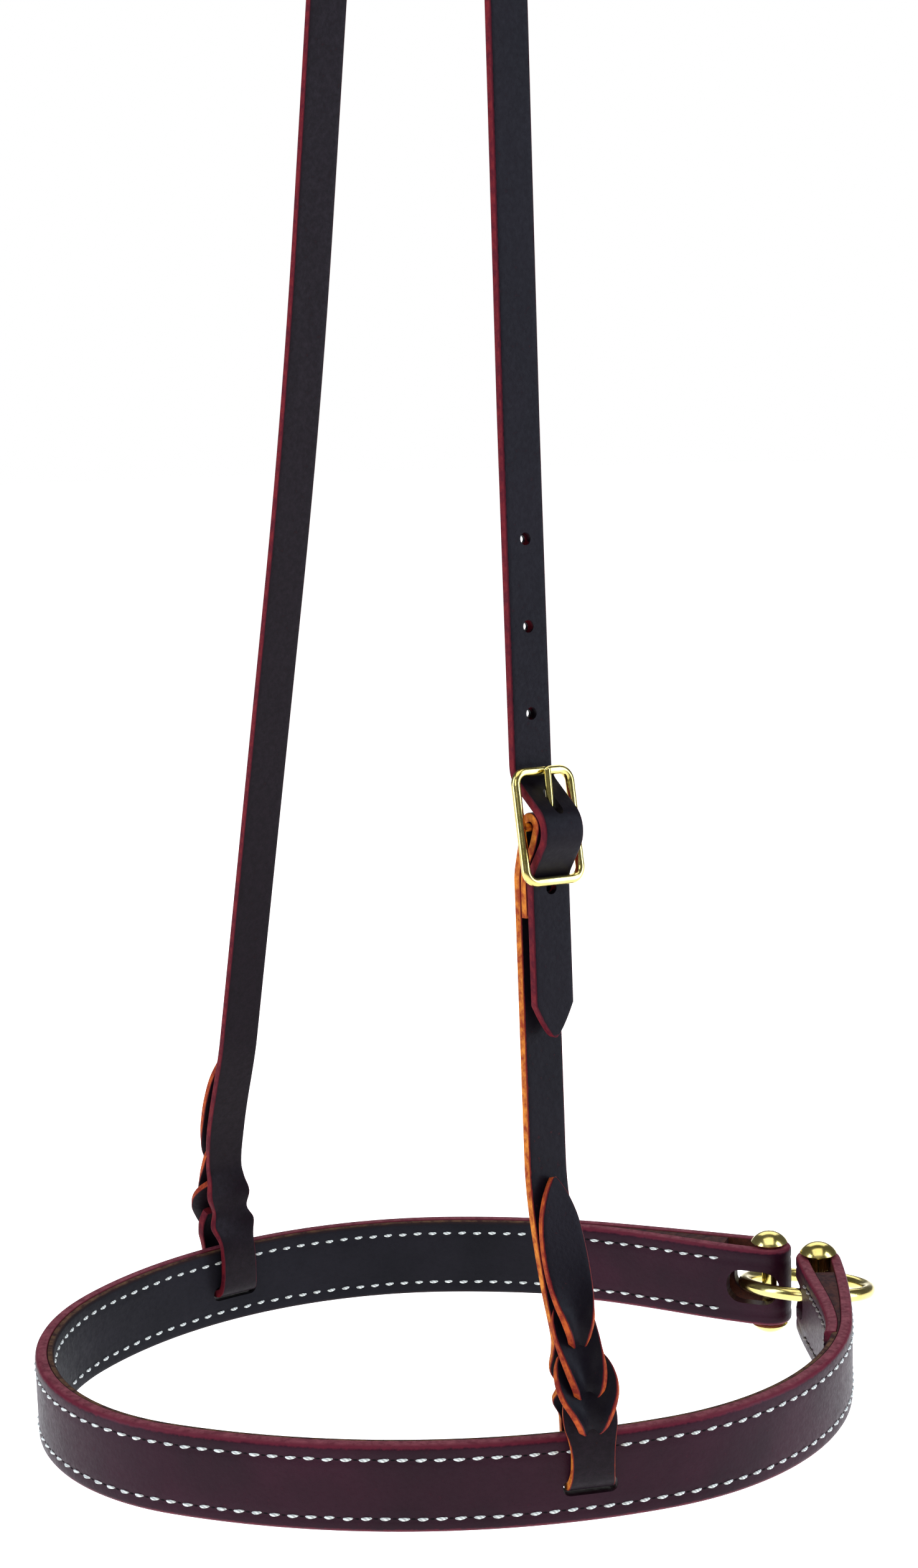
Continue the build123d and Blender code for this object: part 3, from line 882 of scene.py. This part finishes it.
# Crown strap: from the far knot over the poll and down to the buckle, then through it to the tail
tail_start = near_bar(STRAP_LINE, TAIL_ABOVE)
crown_line = fillet([FAR.at(CHEEK_OUT, KNOT_TOP + KNOT_STEP), crown_point(*FAR_BEND), crown_point(*APEX),
                     crown_point(*NEAR_BEND), tail_start],
                    (BEND_RADIUS, POLL_RADIUS + STRAP / 2, BEND_RADIUS), CROWN_STEP)
tail_line = fillet([tail_start, near_bar(STRAP_LINE, BULGE_RUN), near_bar(BULGE, 0),
                    near_bar(TAIL_LINE, -BULGE_RUN), near_bar(TAIL_LINE, -TAIL_LENGTH)],
                   (BULGE_BEND, BULGE_BEND, BULGE_BEND), TAIL_STEP)
crown_points = resample(crown_line[:-1] + tail_line, CROWN_STEP)
end = crown_points[-1]
tip = [end + NEAR.up * lift for lift in spread(TAIL_POINT, 0, 0.8)]
crown_points = [p for p in crown_points if (p - end).length > TAIL_POINT + 0.5] + tip
widths = [STRAP_WIDTH * min(1.0, 0.05 + 0.95 * ((p - end).length / TAIL_POINT) ** 0.72)
          for p in crown_points]
crown_stations = strap_stations(crown_points, facing(crown_points, FAR.out), widths)
crown = strap_mesh("crown_strap_leather", far_loop + crown_stations, STRAP_SECTION, dark_strap_leather)
cutters = []
for count in (-1, 0, 1, 2, 3):
    up = TONGUE_HOLE + HOLE_PITCH * count
    if count == 0:
        cutters.append(rounded_box(near_bar(0, up), STRAP_AXIS, NEAR.up, NEAR.out,
                                   (2 * TONGUE_SLOT_RADIUS, TONGUE_SLOT, 14 * STRAP),
                                   TONGUE_SLOT_RADIUS * ROUND_END))
        continue
    face = (TAIL_LINE if count < 0 else STRAP_LINE) + STRAP / 2
    for radius, depth in ((HOLE_RADIUS, 2 * HOLE_MOUTH), (HOLE_NECK, 3 * STRAP)):
        cutters.append(rounded_box(near_bar(face, up), STRAP_AXIS, NEAR.up, NEAR.out,
                                   (2 * radius, 2 * radius + HOLE_LONGER, depth), radius * ROUND_END))
bored(crown, cutters)
own(crown, "hanger", "strap_leather", "crown_strap")

# Near cheek strap: from its knot up behind the buckle, round the bar and down in front of itself
cheek_foot = (BAR_POINT - NEAR.foot).dot(NEAR.up) - KNOT_TOP - KNOT_STEP
cheek = [near_bar(CHEEK_LINE, -up) for up in spread(cheek_foot, BACK_BEND, 4)]
back = smooth([(CHEEK_LINE, -BACK_BEND), (CHEEK_LINE + 0.1, -13), (CHEEK_LINE + 1.7, -7),
               (-WRAP, 0)], 6)
bend = [(-WRAP * math.cos(a), WRAP * math.sin(a)) for a in spread(0, math.pi, 0.25)]
turnback = smooth([(WRAP, 0), (0.6, -5.5), (TURNBACK_LINE + 0.8, -11), (TURNBACK_LINE, -15.5),
                   (TURNBACK_LINE, -TURNBACK_END)], 6)
cheek_points = cheek[:-1] + [near_bar(o, u) for o, u in back[:-1] + bend[:-1] + turnback]
cheek_stations = strap_stations(cheek_points, facing(cheek_points, NEAR.out))
cheek_piece = strap_mesh("near_cheek_strap_leather", near_loop + cheek_stations, STRAP_SECTION,
                         pale_strap_leather)
bored(cheek_piece, [rounded_box(near_bar(0, SLIT_RISE), STRAP_AXIS, NEAR.up, NEAR.out, SLIT,
                                SLIT_CORNER)])
own(cheek_piece, "hanger", "strap_leather", "near_cheek_strap")


# ---------------------------------------------------------------- brass

for node, piece in frame["nodes"].items():
    if "pin" in node or node in ("tie_down_ring", "buckle_frame", "buckle_tongue"):
        piece.data.materials.clear()
        piece.data.materials.append(brass_metal)


# ---------------------------------------------------------------- stage, light and camera

LENS = 62.87
CAMERA_PLACE = (0.00264, -0.78424, -0.15839)
CAMERA_DOWN = 10.75
CAMERA_ROLL = -1.6
TARGET = (0, 0, -0.3)
COOL = (0.72, 0.82, 1.0)
FLOOR_RADIUS = 6
FLOOR_DROP = 0.16
ROOM_LIGHT = 0.12


def floor():
    """A wide pale floor below the hanging object."""
    bpy.ops.mesh.primitive_circle_add(vertices=96, radius=FLOOR_RADIUS, fill_type="NGON",
                                      location=(0, 0, BAND_LOW * MM - FLOOR_DROP))
    made = bpy.context.object
    made.name = "pale_floor"
    n = Nodes("pale_floor_paint")
    n.put(n.mix(n.ramp(n.noise(300), 0.3, 0.7), rgb(252, 252, 252), rgb(246, 246, 247)),
          n.shader.inputs["Base Color"])
    n.shader.inputs["Roughness"].default_value = 0.9
    n.shader.inputs["Emission Color"].default_value = (1, 1, 1, 1)
    n.shader.inputs["Emission Strength"].default_value = 1.0
    made.data.materials.append(n.material)


def soft_light(name, place, aim, size, power, tint=(1, 1, 1)):
    """A rectangular softbox at a place, turned to what it lights."""
    light = bpy.data.lights.new(name, "AREA")
    light.shape = "RECTANGLE"
    light.size, light.size_y = size
    light.energy = power
    light.color = tint
    made = bpy.data.objects.new(name, light)
    made.location = place
    made.rotation_mode = "QUATERNION"
    made.rotation_quaternion = (Vector(aim) - Vector(place)).to_track_quat("-Z", "Y")
    bpy.context.scene.collection.objects.link(made)


def sky():
    """White where the camera looks past the object, and a dim grey light all round."""
    world = bpy.data.worlds.new("studio")
    bpy.context.scene.world = world
    world.use_nodes = True
    tree = world.node_tree
    background = tree.nodes["Background"]
    path = tree.nodes.new("ShaderNodeLightPath")
    strength = tree.nodes.new("ShaderNodeMapRange")
    strength.inputs["To Min"].default_value = ROOM_LIGHT
    strength.inputs["To Max"].default_value = 1.0
    tree.links.new(path.outputs["Is Camera Ray"], strength.inputs["Value"])
    tree.links.new(strength.outputs["Result"], background.inputs["Strength"])
    background.inputs["Color"].default_value = (1, 1, 1, 1)


def camera():
    """The photograph's viewpoint: in front, looking a little down, with a slight roll."""
    data = bpy.data.cameras.new("camera")
    data.sensor_width = 36
    data.lens = LENS
    data.clip_start = 0.01
    made = bpy.data.objects.new("camera", data)
    pitch = Matrix.Rotation(math.radians(90 - CAMERA_DOWN), 4, "X")
    roll = Matrix.Rotation(math.radians(CAMERA_ROLL), 4, "Z")
    made.matrix_world = Matrix.Translation(CAMERA_PLACE) @ (pitch @ roll)
    bpy.context.scene.collection.objects.link(made)
    bpy.context.scene.camera = made


floor()
soft_light("left_softbox", (-1.1, -0.35, 0.1), TARGET, (0.5, 1.4), 12, COOL)
soft_light("right_softbox", (1.1, -0.25, 0.05), TARGET, (0.5, 1.4), 12, COOL)
soft_light("top_softbox", (0, -0.2, 1.0), TARGET, (1.2, 1.2), 8)
soft_light("front_fill", (-0.3, -1.7, 0.7), TARGET, (0.9, 0.9), 7)
soft_light("back_softbox", (0.2, 1.5, 0.5), TARGET, (1.4, 1.0), 8)
sky()
camera()
bpy.context.scene.view_settings.view_transform = "Standard"
